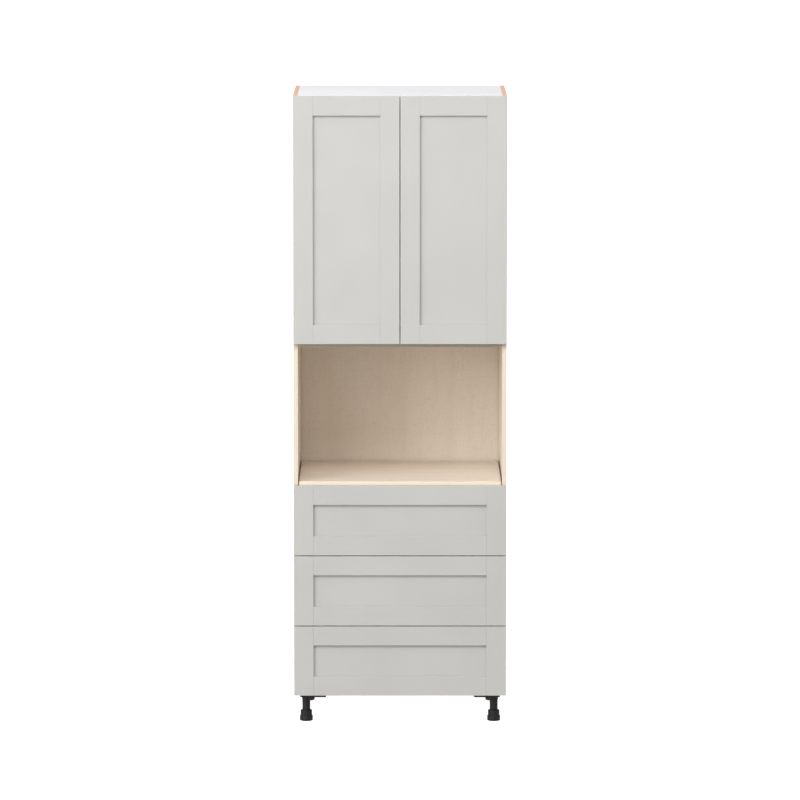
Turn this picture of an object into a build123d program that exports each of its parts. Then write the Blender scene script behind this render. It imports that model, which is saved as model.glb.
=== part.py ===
from build123d import *
import os

# Tall frameless pantry cabinet: a pair of doors over an open niche over three drawers,
# standing on four levelling legs. All sizes are in millimetres.
# The origin is on the floor under the middle of the cabinet. The fronts face -Y, +X is
# to the right and +Z is up. The left half is modelled and the right half mirrors it.

# Driving dimensions of the cabinet
cabinet_width = 762.0
cabinet_depth = 609.6  # from the faces of the fronts to the back
box_height = 2159.0
leg_height = 105.0
panel = 15.875  # thickness of the carcass panels
back_thickness = 9.525
drawer_count = 3
drawer_front_height = 251.5
niche_height = 484.5
adjustable_shelf_count = 2

# Fronts: frames of stiles and rails around a thinner panel
front_thickness = 19.05
front_panel_thickness = 6.35
front_panel_recess = 9.5
frame_width = 69.0
front_gap = 3.0  # between neighbouring fronts
front_reveal = 1.5  # a front stops this far inside the outline of the box
front_lap = 3.0  # a front laps this far over the panel beside the niche
bumper_gap = 3.0  # between a closed front and the carcass
groove_depth = 9.5
groove_slack = 0.1
front_ease = 0.6  # rounding of the arrises
panel_ease = 0.4

# Dowels, screws and shelf pins
dowel_radius = 4.0
dowel_length = 30.0
dowel_depth_in_side = 11.5
dowel_end_distance = 60.0
fit_slack = 0.05
hole_slack = 0.5  # how much deeper a blind hole is than what it takes
screw_radius = 2.0
screw_length = 13.0
long_screw_length = 25.0
screw_head_radius = 3.6
screw_head_height = 1.5
pin_radius = 2.5
pin_depth = 9.0
pin_pitch = 32.0
system_setback = 37.0  # from the carcass front to the first row of holes

# Drawer slides with three members that nest in each other
slide_width = 12.7
slide_length = 530.0
slide_setback = 2.0
slide_sheet = 1.2
slide_rise = 40.0  # from the bottom of a drawer box to the middle of its slides
outer_half_height = 22.5
middle_half_height = 18.0
inner_half_height = 13.8
retainer_length = 90.0

# Drawer boxes
box_wall = 12.7
box_side_height = 180.0
box_lift = 30.0  # from the bottom of the front to the bottom of the box
box_bottom_thickness = 6.35
box_bottom_lift = 12.0
box_groove_depth = 6.0
box_ease = 1.5

# Concealed hinges
hinge_inset = 100.0  # from a door's end to the middle of a hinge
cup_radius = 17.4
cup_depth = 11.8
cup_edge_distance = 3.0
cup_sheet = 0.9

# Levelling legs
leg_x = 338.5
leg_setback = 75.0
leg_tube_radius = 14.35
foot_radius = 23.5
foot_collar_radius = 20.75
foot_height = 41.5

# Places that follow from the driving dimensions
half_width = cabinet_width / 2
half_inside = half_width - panel
front_face = -cabinet_depth / 2
front_back = front_face + front_thickness
carcass_front = front_back + bumper_gap
carcass_back = cabinet_depth / 2
back_face = carcass_back - back_thickness
cabinet_top = leg_height + box_height
top_underside = cabinet_top - panel
front_bottom = leg_height + front_reveal
drawer_pitch = drawer_front_height + front_gap
drawers_top = front_bottom + drawer_count * drawer_pitch - front_gap
shelf_underside = drawers_top - front_lap
shelf_top = shelf_underside + panel
deck_underside = shelf_top + niche_height
deck_top = deck_underside + panel
door_bottom = deck_top - front_lap
door_top = cabinet_top - front_reveal
door_width = half_width - front_reveal - front_gap / 2
box_half_width = half_inside - slide_width
hinge_heights = (door_bottom + hinge_inset, door_top - hinge_inset)
past = 1.0  # how far a cutter runs past the face that it cuts

# Directions
inwards = (1, 0, 0)  # from the left side panel
outwards = (-1, 0, 0)
forwards = (0, -1, 0)
backwards = (0, 1, 0)
upwards = (0, 0, 1)
downwards = (0, 0, -1)


def block(x, y, z):
    # A rectangular solid between the low and high limits on each axis.
    limits = (x, y, z)
    middle = [(low + high) / 2 for low, high in limits]
    sizes = [high - low for low, high in limits]
    return Pos(*middle) * Box(*sizes)


def rod(start, direction, radius, length):
    # A round bar that starts at a point and runs along a direction.
    upright = (Align.CENTER, Align.CENTER, Align.MIN)
    return Plane(origin=start, z_dir=direction) * Cylinder(radius, length, align=upright)


def around(middle, half_size):
    return (middle - half_size, middle + half_size)


def eased(shape, radius):
    # The same shape with the edges of its foremost face rounded.
    foremost = shape.faces().sort_by(Axis.Y)[0]
    return fillet(foremost.edges(), radius)


def mirrored(shape):
    return mirror(shape, about=Plane.YZ)


def both_sides(shapes):
    # The shapes on the left and their mirror images on the right.
    return [copy for shape in shapes for copy in (shape, mirrored(shape))]


def write_node(name, shapes):
    # One STEP file for one named piece, or for one group of like pieces.
    solids = [solid for shape in shapes for solid in shape.solids()]
    node = solids[0] if len(solids) == 1 else Compound(solids)
    export_step(node, f"parts/{name}.step")


# Screws. A seat is the point under the head and the direction in which the screw goes.


def screw(seat, length):
    point, direction = seat
    shank = rod(point, direction, screw_radius - fit_slack, length)
    head_side = tuple(-part for part in direction)
    return shank + rod(point, head_side, screw_head_radius, screw_head_height)


def screw_holes(seats, length=screw_length):
    return [rod(point, way, screw_radius, length + hole_slack) for point, way in seats]


# Hinges. Each one is laid out in the plane of its swing: u runs inwards from the outer
# edge of the door, v runs back from the door's back face. The fixed arm ends in a pin.
# The door turns about a virtual axis at u = 7, v = -10.5, and the curved link keeps
# between the arm's pin and the stubs of the cup's pin.

arm_pin = (26.9, -1.2)
cup_pin = (8.56, -3.47)
link_bulge = (18.4, -7.8)
link_half_thickness = 1.1
link_end_radius = 2.2
link_half_height = 4.0
hinge_pin_radius = 1.4

cup_middle = cup_edge_distance + cup_radius
cup_stub_gap = 0.5
cup_stub_length = 2.5
cup_stub_width = 5.0
flange_thickness = 1.2
flange_rim = 0.6
flange_wing_radius = 7.0
stud_u = 30.0
stud_spread = 22.5
stud_radius = 4.0
stud_depth = 10.0

side_face = panel - front_reveal  # u of the side panel's inner face
plate_thickness = 2.5
plate_half_height = 24.0
plate_half_depth = 9.0
plate_screw_rise = 16.0
plate_v = bumper_gap + system_setback
riser_height = 8.0
riser_half_depth = 18.0
riser_half_width = 6.0

arm_half_height = 8.0
arm_wall = 1.6
arm_eye_radius = 3.3
arm_back_v = 60.0
arm_crank_v = (22.0, 8.0)  # where the crank starts and ends
arm_skirt_v = (18.0, 5.0)
arm_low_u = side_face + 4.0
arm_high_u = side_face + 9.6
arm_nose_u = (23.6, 30.2)


def hinge_point(u, v, height):
    return (-half_width + front_reveal + u, front_back + v, height)


def hinge_slab(outline, height, half_height):
    # A flat outline in u and v, made solid above and below a hinge's middle.
    return Pos(*hinge_point(0, 0, height)) * extrude(outline, half_height, both=True)


def spot(place, radius):
    return Pos(*place) * Circle(radius)


def stud_points(height):
    return [hinge_point(stud_u, 0, height + side * stud_spread) for side in (-1, 1)]


def cup_pocket(height):
    # What is bored out of the door: the cup's seat and the holes for its two studs.
    middle = hinge_point(cup_middle, 0, height)
    pocket = rod(middle, forwards, cup_radius + fit_slack, cup_depth + fit_slack)
    for point in stud_points(height):
        pocket += rod(point, forwards, stud_radius + fit_slack, stud_depth + fit_slack)
    return pocket


def hinge_flange(height):
    # A plate on the door's back face that joins the cup to its studs.
    middle = hinge_point(cup_middle, 0, height)
    flange = rod(middle, backwards, cup_radius + flange_rim, flange_thickness)
    for point in stud_points(height):
        flange += rod(point, backwards, flange_wing_radius, flange_thickness)
        flange += rod(point, forwards, stud_radius, stud_depth)
    x, y, z = hinge_point(stud_u, 0, height)
    bridge = block(around(x, flange_wing_radius), (y, y + flange_thickness), around(z, stud_spread))
    return flange + bridge


def cup_stubs(height):
    # The ends of the cup's pin on their lugs, above and below the room for the link.
    lug_bottom = -cup_depth
    lug = Pos(cup_pin[0], (cup_pin[1] + lug_bottom) / 2) * Rectangle(cup_stub_width, cup_pin[1] - lug_bottom)
    outline = lug + spot(cup_pin, cup_stub_width / 2)
    near = link_half_height + cup_stub_gap
    return hinge_slab(outline, height, near + cup_stub_length) - hinge_slab(outline, height, near)


def hinge_cup(height):
    # A pressed cup with a flange, two studs and the two stubs of the cup pin.
    outside = rod(hinge_point(cup_middle, 0, height), forwards, cup_radius, cup_depth)
    mouth = hinge_point(cup_middle, flange_thickness + past, height)
    inside_depth = cup_depth - cup_sheet + flange_thickness + past
    inside = rod(mouth, forwards, cup_radius - cup_sheet, inside_depth)
    return outside + hinge_flange(height) - inside + (cup_stubs(height) & outside)


def hinge_plate_seats(height):
    # The two screws of one plate, above and below its middle.
    u = side_face + plate_thickness
    heights = around(height, plate_screw_rise)
    return [(hinge_point(u, plate_v, z), outwards) for z in heights]


def hinge_plate(height):
    # The plate on the side panel and the raised block that the arm clips on.
    base = Pos(side_face + plate_thickness / 2, plate_v) * Rectangle(plate_thickness, 2 * plate_half_depth)
    riser = Pos(side_face + riser_height / 2, plate_v) * Rectangle(riser_height, 2 * riser_half_depth)
    plate = hinge_slab(base, height, plate_half_height) + hinge_slab(riser, height, riser_half_width)
    return plate - screw_holes(hinge_plate_seats(height))


def hinge_arm(height):
    # A channel over the raised block, cranked inwards to reach into the cup.
    nose_low, nose_high = arm_nose_u
    crank_start, crank_end = arm_crank_v
    skirt_start, skirt_end = arm_skirt_v
    outline = Polyline(
        (arm_low_u, arm_back_v),
        (arm_high_u, arm_back_v),
        (arm_high_u, crank_start),
        (nose_high, crank_end),
        (nose_high, arm_pin[1]),
        (nose_low, arm_pin[1]),
        (nose_low, skirt_end),
        (arm_low_u, skirt_start),
        close=True,
    )
    nose_floor = arm_pin[1] - 2 * arm_eye_radius
    hollow = Polyline(
        (side_face, arm_back_v + past),
        (arm_high_u - arm_wall, arm_back_v + past),
        (arm_high_u - arm_wall, crank_start - past),
        (nose_high - arm_wall, crank_end - past),
        (nose_high + arm_wall, nose_floor),
        (side_face, nose_floor),
        close=True,
    )
    arm = hinge_slab(make_face(outline) + spot(arm_pin, arm_eye_radius), height, arm_half_height)
    arm -= hinge_slab(make_face(hollow), height, arm_half_height - arm_wall)
    return arm - hinge_slab(spot(arm_pin, hinge_pin_radius + fit_slack), height, arm_half_height + past)


def hinge_link(height):
    # A curved lever between the two pins, with the arm's pin as part of it.
    lever = trace(ThreePointArc(arm_pin, link_bulge, cup_pin), 2 * link_half_thickness)
    lever += spot(arm_pin, link_end_radius) + spot(cup_pin, link_end_radius)
    pin = hinge_slab(spot(arm_pin, hinge_pin_radius), height, arm_half_height)
    return hinge_slab(lever, height, link_half_height) + pin


# Shelf pins stand in a few holes above and below each adjustable shelf.

shelf_room = (top_underside - deck_top) / (adjustable_shelf_count + 1)
shelf_levels = [deck_top + shelf_room * (place + 1) for place in range(adjustable_shelf_count)]
shelf_inset = 20.0
shelf_side_gap = 1.0
shelf_back_gap = 3.0
pin_rows = (carcass_front + system_setback + shelf_inset, back_face - system_setback)
pin_steps = (-2, -1, 0, 1, 2)
pin_tongue = 3.0
pin_half_width = 4.0
pin_reach = 9.0
pin_web = 1.5


def pin_seats():
    # Where the pins of each shelf enter the left side panel.
    return [(row, level - pin_tongue / 2) for level in shelf_levels for row in pin_rows]


def pin_holes():
    places = [(y, z + step * pin_pitch) for y, z in pin_seats() for step in pin_steps]
    return [rod((-half_inside, y, z), outwards, pin_radius, pin_depth + hole_slack) for y, z in places]


def shelf_pin(row, height):
    # A stem in the side panel, a web against it and a flat tongue under the shelf.
    stem = rod((-half_inside, row, height), outwards, pin_radius - fit_slack, pin_depth)
    width = around(row, pin_half_width)
    tongue = block((-half_inside, -half_inside + pin_reach), width, around(height, pin_tongue / 2))
    web = block((-half_inside, -half_inside + pin_web), width, (height - pin_reach, height))
    return stem + tongue + web


def adjustable_shelf(level):
    reach = half_inside - shelf_side_gap
    depth = (carcass_front + shelf_inset, back_face - shelf_back_gap)
    return eased(block((-reach, reach), depth, (level, level + panel)), panel_ease)


# Steel angles under the niche shelf

angle_leg = 25.0
angle_sheet = 2.0
angle_ends = (-240.0, 220.0)
angle_screw_rows = (-200.0, 0.0, 200.0)
angle_screw_stagger = 15.0
angle_screw_line = 14.0  # from the angle's corner
angle_side_seats = [
    ((-half_inside + angle_sheet, y, shelf_underside - angle_screw_line), outwards) for y in angle_screw_rows
]
angle_shelf_seats = [
    ((-half_inside + angle_screw_line, y + angle_screw_stagger, shelf_underside - angle_sheet), upwards)
    for y in angle_screw_rows
]


def shelf_angle():
    upright = block(
        (-half_inside, -half_inside + angle_sheet),
        angle_ends,
        (shelf_underside - angle_leg, shelf_underside),
    )
    flat = block(
        (-half_inside, -half_inside + angle_leg),
        angle_ends,
        (shelf_underside - angle_sheet, shelf_underside),
    )
    return upright + flat - screw_holes(angle_side_seats + angle_shelf_seats)


# Drawer slides. Each member is a channel: a web and two flanges. Web and flange ends
# are distances from the side panel's inner face.

slide_front = carcass_front + slide_setback
slide_back = slide_front + slide_length
slide_screw_rows = (carcass_front + system_setback, 180.0)
outer_flange = (0, 8.5)
middle_web = 3.0
middle_flange = (middle_web, 9.7)
inner_flange = (5.4, slide_width)
outer_retainer = (3.4, 7.4)
inner_retainer = (5.6, 9.6)


def box_level(drawer):
    return front_bottom + drawer * drawer_pitch + box_lift


def slide_level(drawer):
    return box_level(drawer) + slide_rise


def from_side(span):
    # Limits measured from the left side panel's inner face, as places on X.
    return tuple(-half_inside + distance for distance in span)


def channel(web, flange, half_height, level):
    length = (slide_front, slide_back)
    profile = block(from_side((web, web + slide_sheet)), length, around(level, half_height))
    upper = (level + half_height - slide_sheet, level + half_height)
    lower = (level - half_height, level - half_height + slide_sheet)
    return profile + block(from_side(flange), length, upper) + block(from_side(flange), length, lower)


def slide_seats(drawer):
    x = -half_inside + slide_sheet
    return [((x, y, slide_level(drawer)), outwards) for y in slide_screw_rows]


def cabinet_member(drawer):
    outer = channel(0, outer_flange, outer_half_height, slide_level(drawer))
    return outer - screw_holes(slide_seats(drawer))


def middle_member(drawer):
    return channel(middle_web, middle_flange, middle_half_height, slide_level(drawer))


def drawer_member(drawer):
    return channel(slide_width - slide_sheet, inner_flange, inner_half_height, slide_level(drawer))


def retainer_pair(depth, length, level, low, high):
    # One strip above the middle of the slide and one below it.
    upper = block(from_side(depth), length, (level + low, level + high))
    lower = block(from_side(depth), length, (level - high, level - low))
    return [upper, lower]


def ball_retainers(drawer):
    # Strips that stand for the rows of balls: outside the middle member at its back
    # end and inside it at its front end. They fill the gaps to its two neighbours.
    level = slide_level(drawer)
    at_back = (slide_back - retainer_length, slide_back)
    at_front = (slide_front, slide_front + retainer_length)
    outer_gap_top = outer_half_height - slide_sheet - groove_slack
    inner_gap_bottom = inner_half_height + groove_slack
    outer = retainer_pair(outer_retainer, at_back, level, middle_half_height, outer_gap_top)
    inner = retainer_pair(inner_retainer, at_front, level, inner_gap_bottom, middle_half_height - slide_sheet)
    return outer + inner


# Carcass

dowelled_levels = (leg_height, deck_underside, top_underside)
dowel_rows = (carcass_front + dowel_end_distance, 0, back_face - dowel_end_distance)
back_rebate = panel / 2
housing_depth = 2.0
housing_height = 46.0  # above the niche shelf
shelf_end_gap = 4.0
rail_height = 100.0
wall_hole_x = 200.0
wall_hole_radius = 3.25
wall_rail_bottoms = (shelf_underside - rail_height, top_underside - rail_height)


def dowel_places():
    # Where each dowel starts inside the left side panel.
    x = -half_inside - dowel_depth_in_side
    return [(x, y, level + panel / 2) for level in dowelled_levels for y in dowel_rows]


def dowel_holes():
    length = dowel_length + 2 * hole_slack
    return [rod((x - hole_slack, y, z), inwards, dowel_radius, length) for x, y, z in dowel_places()]


def panel_dowels():
    return [rod(place, inwards, dowel_radius - fit_slack, dowel_length) for place in dowel_places()]


def side_panel():
    # The left side: rebated for the back and housed beside the niche shelf.
    side = block((-half_width, -half_inside), (carcass_front, carcass_back), (leg_height, cabinet_top))
    side = eased(side, panel_ease)
    rebate = block(
        (-half_inside - back_rebate, -half_inside + past),
        (back_face, carcass_back + past),
        (leg_height - past, top_underside),
    )
    housing = block(
        (-half_inside - housing_depth, -half_inside + past),
        (carcass_front + panel_ease, back_face),
        (shelf_underside, shelf_top + housing_height),
    )
    return side - rebate - housing - pin_holes() - dowel_holes() - screw_holes(side_seats)


def level_panel(bottom, back):
    # A horizontal panel that is dowelled between the side panels.
    flat = block((-half_inside, half_inside), (carcass_front, back), (bottom, bottom + panel))
    return eased(flat, panel_ease) - both_sides(dowel_holes())


def bottom_panel():
    return level_panel(leg_height, back_face) - both_sides(screw_holes(leg_screw_seats))


def niche_shelf():
    # It stops short of the side panels and stands on two steel angles.
    reach = half_inside - shelf_end_gap
    shelf = block((-reach, reach), (carcass_front, back_face), (shelf_underside, shelf_top))
    return eased(shelf, panel_ease) - both_sides(screw_holes(angle_shelf_seats))


def wall_holes():
    heights = [bottom + rail_height / 2 for bottom in wall_rail_bottoms]
    start = back_face - panel - past
    length = carcass_back + past - start
    places = [(x, z) for x in (-wall_hole_x, wall_hole_x) for z in heights]
    return [rod((x, start, z), backwards, wall_hole_radius, length) for x, z in places]


def back_panel():
    reach = half_inside + back_rebate - groove_slack
    return block((-reach, reach), (back_face, carcass_back), (leg_height, top_underside)) - wall_holes()


def wall_rail(bottom):
    # A rail across the back that the wall screws go through.
    depth = (back_face - panel, back_face)
    return block((-half_inside, half_inside), depth, (bottom, bottom + rail_height)) - wall_holes()


# Bumpers keep the closed fronts off the carcass.

bumper_radius = 4.0
bumper_slack = 0.3
bumper_inset = 20.0
bumper_bevel = 1.0
door_bumper_x = 40.0


def bumper(x, z):
    pad = rod((x, carcass_front, z), forwards, bumper_radius, bumper_gap - bumper_slack)
    return chamfer(pad.edges().sort_by(Axis.Y)[0], bumper_bevel)


def bumpers():
    pads = [bumper(-door_bumper_x, top_underside + panel / 2)]
    for drawer in range(drawer_count):
        front_top = front_bottom + drawer * drawer_pitch + drawer_front_height
        pads.append(bumper(-half_inside - panel / 2, front_top - bumper_inset))
    return pads


# Framed fronts: two stiles, two rails with stub tenons, and a panel in their grooves

front_panel_y = (front_face + front_panel_recess, front_face + front_panel_recess + front_panel_thickness)
groove_y = (front_panel_y[0] - groove_slack, front_panel_y[1] + groove_slack)


def framed_front(x, z):
    left, right = x
    bottom, top = z
    depth = (front_face, front_back)
    tongue = groove_depth - groove_slack
    inner_left, inner_right = left + frame_width, right - frame_width
    inner_bottom, inner_top = bottom + frame_width, top - frame_width
    groove_x = (inner_left - groove_depth, inner_right + groove_depth)
    groove_z = (inner_bottom - groove_depth, inner_top + groove_depth)
    tongue_x = (inner_left - tongue, inner_right + tongue)

    mortises = block(groove_x, groove_y, (bottom - past, top + past))
    stile_spans = ((left, inner_left), (inner_right, right))
    stiles = [eased(block(span, depth, z), front_ease) - mortises for span in stile_spans]

    groove = block(groove_x, groove_y, groove_z)
    rails = []
    rail_spans = ((bottom, inner_bottom), (inner_top, top))
    tenon_spans = ((bottom, groove_z[0]), (groove_z[1], top))
    for span, tenon in zip(rail_spans, tenon_spans):
        rail = eased(block((inner_left, inner_right), depth, span), front_ease)
        rails.append(rail - groove + block(tongue_x, front_panel_y, tenon))
    infill = block(tongue_x, front_panel_y, (inner_bottom - tongue, inner_top + tongue))
    return stiles, rails, infill


def write_doors():
    left_edge = -half_width + front_reveal
    stiles, rails, infill = framed_front((left_edge, left_edge + door_width), (door_bottom, door_top))
    for height in hinge_heights:
        stiles[0] -= cup_pocket(height)
    pieces = {
        "door_stiles": stiles,
        "door_rails": rails,
        "door_panel": [infill],
        "hinge_cups": [hinge_cup(height) for height in hinge_heights],
        "hinge_links": [hinge_link(height) for height in hinge_heights],
    }
    for name, shapes in pieces.items():
        write_node(f"left_{name}", shapes)
        write_node(f"right_{name}", [mirrored(shape) for shape in shapes])


# Drawers: a framed front screwed to a plywood box that hangs on its slides

box_inside = box_half_width - box_wall
box_front_wall = (front_back, front_back + box_wall)
box_back_wall = (slide_back - box_wall, slide_back)


def box_seats(drawer):
    # The four screws that hold a drawer front, driven from inside the box.
    x = box_inside - box_wall
    level = box_level(drawer)
    heights = (level + slide_rise, level + box_side_height - slide_rise)
    return [((side * x, box_front_wall[1], z), forwards) for side in (-1, 1) for z in heights]


def softened(wall, direction):
    # The same wall of a drawer box with its two long top edges rounded.
    top_edges = wall.faces().sort_by(Axis.Z)[-1].edges().filter_by(direction)
    return fillet(top_edges, box_ease)


def box_pieces(drawer):
    # Sides, ends and bottom. The bottom sits in a groove that runs round inside.
    level = box_level(drawer)
    height = (level, level + box_side_height)
    bottom_z = (level + box_bottom_lift, level + box_bottom_lift + box_bottom_thickness)
    groove = block(
        (-box_inside - box_groove_depth, box_inside + box_groove_depth),
        (box_front_wall[1] - box_groove_depth, box_back_wall[0] + box_groove_depth),
        (bottom_z[0] - groove_slack, bottom_z[1] + groove_slack),
    )
    side = block((-box_half_width, -box_inside), (box_front_wall[0], box_back_wall[1]), height)
    side = softened(side, Axis.Y) - groove
    ends = [block((-box_inside, box_inside), wall, height) for wall in (box_front_wall, box_back_wall)]
    ends = [softened(end, Axis.X) - groove for end in ends]
    tongue = box_groove_depth - groove_slack
    bottom = block(
        (-box_inside - tongue, box_inside + tongue),
        (box_front_wall[1] - tongue, box_back_wall[0] + tongue),
        bottom_z,
    )
    return side, ends, bottom


def write_drawer(drawer):
    low = front_bottom + drawer * drawer_pitch
    width = (-half_width + front_reveal, half_width - front_reveal)
    stiles, rails, infill = framed_front(width, (low, low + drawer_front_height))
    side, ends, bottom = box_pieces(drawer)
    seats = box_seats(drawer)
    holes = screw_holes(seats, long_screw_length)
    pieces = {
        "front_stiles": [stile - holes for stile in stiles],
        "front_rails": rails,
        "front_panel": [infill],
        "box_sides": both_sides([side]),
        "box_ends": [end - holes for end in ends],
        "box_bottom": [bottom],
        "front_screws": [screw(seat, long_screw_length) for seat in seats],
        "drawer_slides": both_sides([drawer_member(drawer)]),
        "middle_slides": both_sides([middle_member(drawer), *ball_retainers(drawer)]),
    }
    for name, shapes in pieces.items():
        write_node(f"drawer_{drawer + 1}_{name}", shapes)


# Levelling legs. A plate with a socket holds a tube, and a foot screws into the tube.

leg_rows = {"front": carcass_front + leg_setback, "back": carcass_back - leg_setback}
leg_plate_thickness = 9.0
leg_plate_outward = 21.7  # and as far back
leg_plate_inward = 73.0
leg_plate_forward = 71.0
leg_plate_corner = 8.0
leg_plate_bevel = 1.0
leg_screw_offsets = ((-12.0, -62.0), (-12.0, -28.0), (62.0, -62.0), (62.0, 12.0))  # from the leg's axis
socket_height = 15.0
socket_radius = 16.5
lobe_reach = 30.5
lobe_half_depth = 9.0
lobe_corner = 4.0
lobe_bottom_ease = 3.5
tube_bottom = 30.0
tube_bore_radius = 10.0
tube_bore_top = 100.0
stem_top = 84.0
foot_floor = 12.0
foot_base_height = 20.0
foot_bottom_ease = 4.0
foot_bevel = 2.5
collar_bevel = 1.25
collar_slack = 0.2


def leg_seats(y):
    z = leg_height - leg_plate_thickness
    return [((-leg_x + inward, y + back, z), upwards) for inward, back in leg_screw_offsets]


leg_screw_seats = [seat for y in leg_rows.values() for seat in leg_seats(y)]


def leg_plate(y):
    # The plate under the bottom panel, with the lobed socket near its outer back corner
    # that grips the tube.
    plate = block(
        (-leg_x - leg_plate_outward, -leg_x + leg_plate_inward),
        (y - leg_plate_forward, y + leg_plate_outward),
        (leg_height - leg_plate_thickness, leg_height),
    )
    lobe = block(
        (-leg_x, -leg_x + lobe_reach),
        around(y, lobe_half_depth),
        (leg_height - socket_height, leg_height),
    )
    plate = fillet(plate.edges().filter_by(Axis.Z), leg_plate_corner)
    plate = chamfer(plate.faces().sort_by(Axis.Z)[0].edges(), leg_plate_bevel)
    lobe = fillet(lobe.edges().filter_by(Axis.Z), lobe_corner)
    lobe = fillet(lobe.faces().sort_by(Axis.Z)[0].edges(), lobe_bottom_ease)
    top = (-leg_x, y, leg_height)
    socket = rod(top, downwards, socket_radius, socket_height)
    bore = rod(top, downwards, leg_tube_radius + fit_slack, socket_height + past)
    return plate + socket + lobe - bore - screw_holes(leg_seats(y))


def leg_tube(y):
    tube = rod((-leg_x, y, tube_bottom), upwards, leg_tube_radius, leg_height - tube_bottom)
    start = tube_bottom - past
    return tube - rod((-leg_x, y, start), upwards, tube_bore_radius, tube_bore_top - start)


def leg_foot(y):
    # A wide base, a collar round the tube and a stem up inside it.
    collar_height = foot_height - foot_base_height
    base = rod((-leg_x, y, 0), upwards, foot_radius, foot_base_height)
    base = fillet(base.edges().sort_by(Axis.Z)[0], foot_bottom_ease)
    base = chamfer(base.edges().sort_by(Axis.Z)[-1], foot_bevel)
    collar = rod((-leg_x, y, foot_base_height), upwards, foot_collar_radius, collar_height)
    collar = chamfer(collar.edges().sort_by(Axis.Z)[-1], collar_bevel)
    floor = (-leg_x, y, foot_floor)
    bore = rod(floor, upwards, leg_tube_radius + collar_slack, foot_height)
    stem = rod(floor, upwards, tube_bore_radius - fit_slack, stem_top - foot_floor)
    return base + collar - bore + stem


def write_legs():
    write_node("leg_plates", both_sides([leg_plate(y) for y in leg_rows.values()]))
    write_node("leg_tubes", both_sides([leg_tube(y) for y in leg_rows.values()]))
    for row, y in leg_rows.items():
        write_node(f"{row}_left_foot", [leg_foot(y)])
        write_node(f"{row}_right_foot", [mirrored(leg_foot(y))])


# Seats of all the alike screws of the carcass, on the left
side_seats = [seat for height in hinge_heights for seat in hinge_plate_seats(height)]
side_seats += [seat for drawer in range(drawer_count) for seat in slide_seats(drawer)]
side_seats += angle_side_seats
carcass_seats = side_seats + angle_shelf_seats + leg_screw_seats


def write_carcass():
    left = side_panel()
    write_node("left_side_panel", [left])
    write_node("right_side_panel", [mirrored(left)])
    write_node("top_panel", [level_panel(top_underside, carcass_back)])
    write_node("niche_ceiling", [level_panel(deck_underside, back_face)])
    write_node("niche_shelf", [niche_shelf()])
    write_node("bottom_panel", [bottom_panel()])
    write_node("back_panel", [back_panel()])
    write_node("wall_rails", [wall_rail(bottom) for bottom in wall_rail_bottoms])
    write_node("adjustable_shelves", [adjustable_shelf(level) for level in shelf_levels])


def write_hardware():
    write_node("shelf_pins", both_sides([shelf_pin(row, height) for row, height in pin_seats()]))
    write_node("panel_dowels", both_sides(panel_dowels()))
    write_node("front_bumpers", both_sides(bumpers()))
    write_node("shelf_angles", both_sides([shelf_angle()]))
    write_node("hinge_plates", both_sides([hinge_plate(height) for height in hinge_heights]))
    write_node("hinge_arms", both_sides([hinge_arm(height) for height in hinge_heights]))
    members = [cabinet_member(drawer) for drawer in range(drawer_count)]
    write_node("cabinet_slides", both_sides(members))
    write_node("carcass_screws", both_sides([screw(seat, screw_length) for seat in carcass_seats]))


os.makedirs("parts", exist_ok=True)
write_carcass()
write_hardware()
write_doors()
for number in range(drawer_count):
    write_drawer(number)
write_legs()
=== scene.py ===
import math
import bmesh
import bpy
from mathutils import Matrix, Vector


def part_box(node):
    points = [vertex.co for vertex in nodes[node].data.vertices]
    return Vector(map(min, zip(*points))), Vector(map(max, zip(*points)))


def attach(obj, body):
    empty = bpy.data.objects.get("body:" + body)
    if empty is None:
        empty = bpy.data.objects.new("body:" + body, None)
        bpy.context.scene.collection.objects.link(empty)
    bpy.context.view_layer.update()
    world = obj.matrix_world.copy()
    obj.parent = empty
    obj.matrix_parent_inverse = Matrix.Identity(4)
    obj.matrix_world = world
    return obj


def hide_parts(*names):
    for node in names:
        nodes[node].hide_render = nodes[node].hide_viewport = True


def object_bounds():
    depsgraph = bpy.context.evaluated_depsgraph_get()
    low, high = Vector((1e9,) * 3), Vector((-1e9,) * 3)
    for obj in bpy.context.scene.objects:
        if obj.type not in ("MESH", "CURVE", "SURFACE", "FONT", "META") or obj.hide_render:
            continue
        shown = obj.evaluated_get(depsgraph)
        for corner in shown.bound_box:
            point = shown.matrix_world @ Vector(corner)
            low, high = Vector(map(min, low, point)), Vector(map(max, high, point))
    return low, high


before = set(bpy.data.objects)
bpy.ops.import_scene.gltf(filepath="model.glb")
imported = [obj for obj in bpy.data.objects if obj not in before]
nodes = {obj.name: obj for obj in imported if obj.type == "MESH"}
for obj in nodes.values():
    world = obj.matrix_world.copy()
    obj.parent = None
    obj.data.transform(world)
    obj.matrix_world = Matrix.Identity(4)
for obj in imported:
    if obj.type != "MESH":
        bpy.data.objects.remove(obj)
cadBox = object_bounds()
mm = 0.001


def linear(colour):
    # sRGB hex to the linear values that the shaders want
    values = [int(colour[i:i + 2], 16) / 255 for i in (0, 2, 4)]
    return [v / 12.92 if v <= 0.04045 else ((v + 0.055) / 1.055) ** 2.4 for v in values] + [1.0]


def addNode(tree, kind, settings=None, links=None):
    # settings go to the node or to its inputs, by name or number; a link comes from a node or a socket
    node = tree.nodes.new(kind)
    for name, value in (settings or {}).items():
        if name == "stops":
            elements = node.color_ramp.elements
            for _ in value[2:]:
                elements.new(0.5)
            for element, (position, colour) in zip(elements, value):
                element.position = position
                element.color = linear(colour)
        elif isinstance(name, str) and hasattr(node, name):
            setattr(node, name, value)
        else:
            node.inputs[name].default_value = value
    for name, source in (links or {}).items():
        if isinstance(source, bpy.types.Node):
            source = next(socket for socket in source.outputs if socket.enabled)
        tree.links.new(source, node.inputs[name])
    return node


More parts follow.
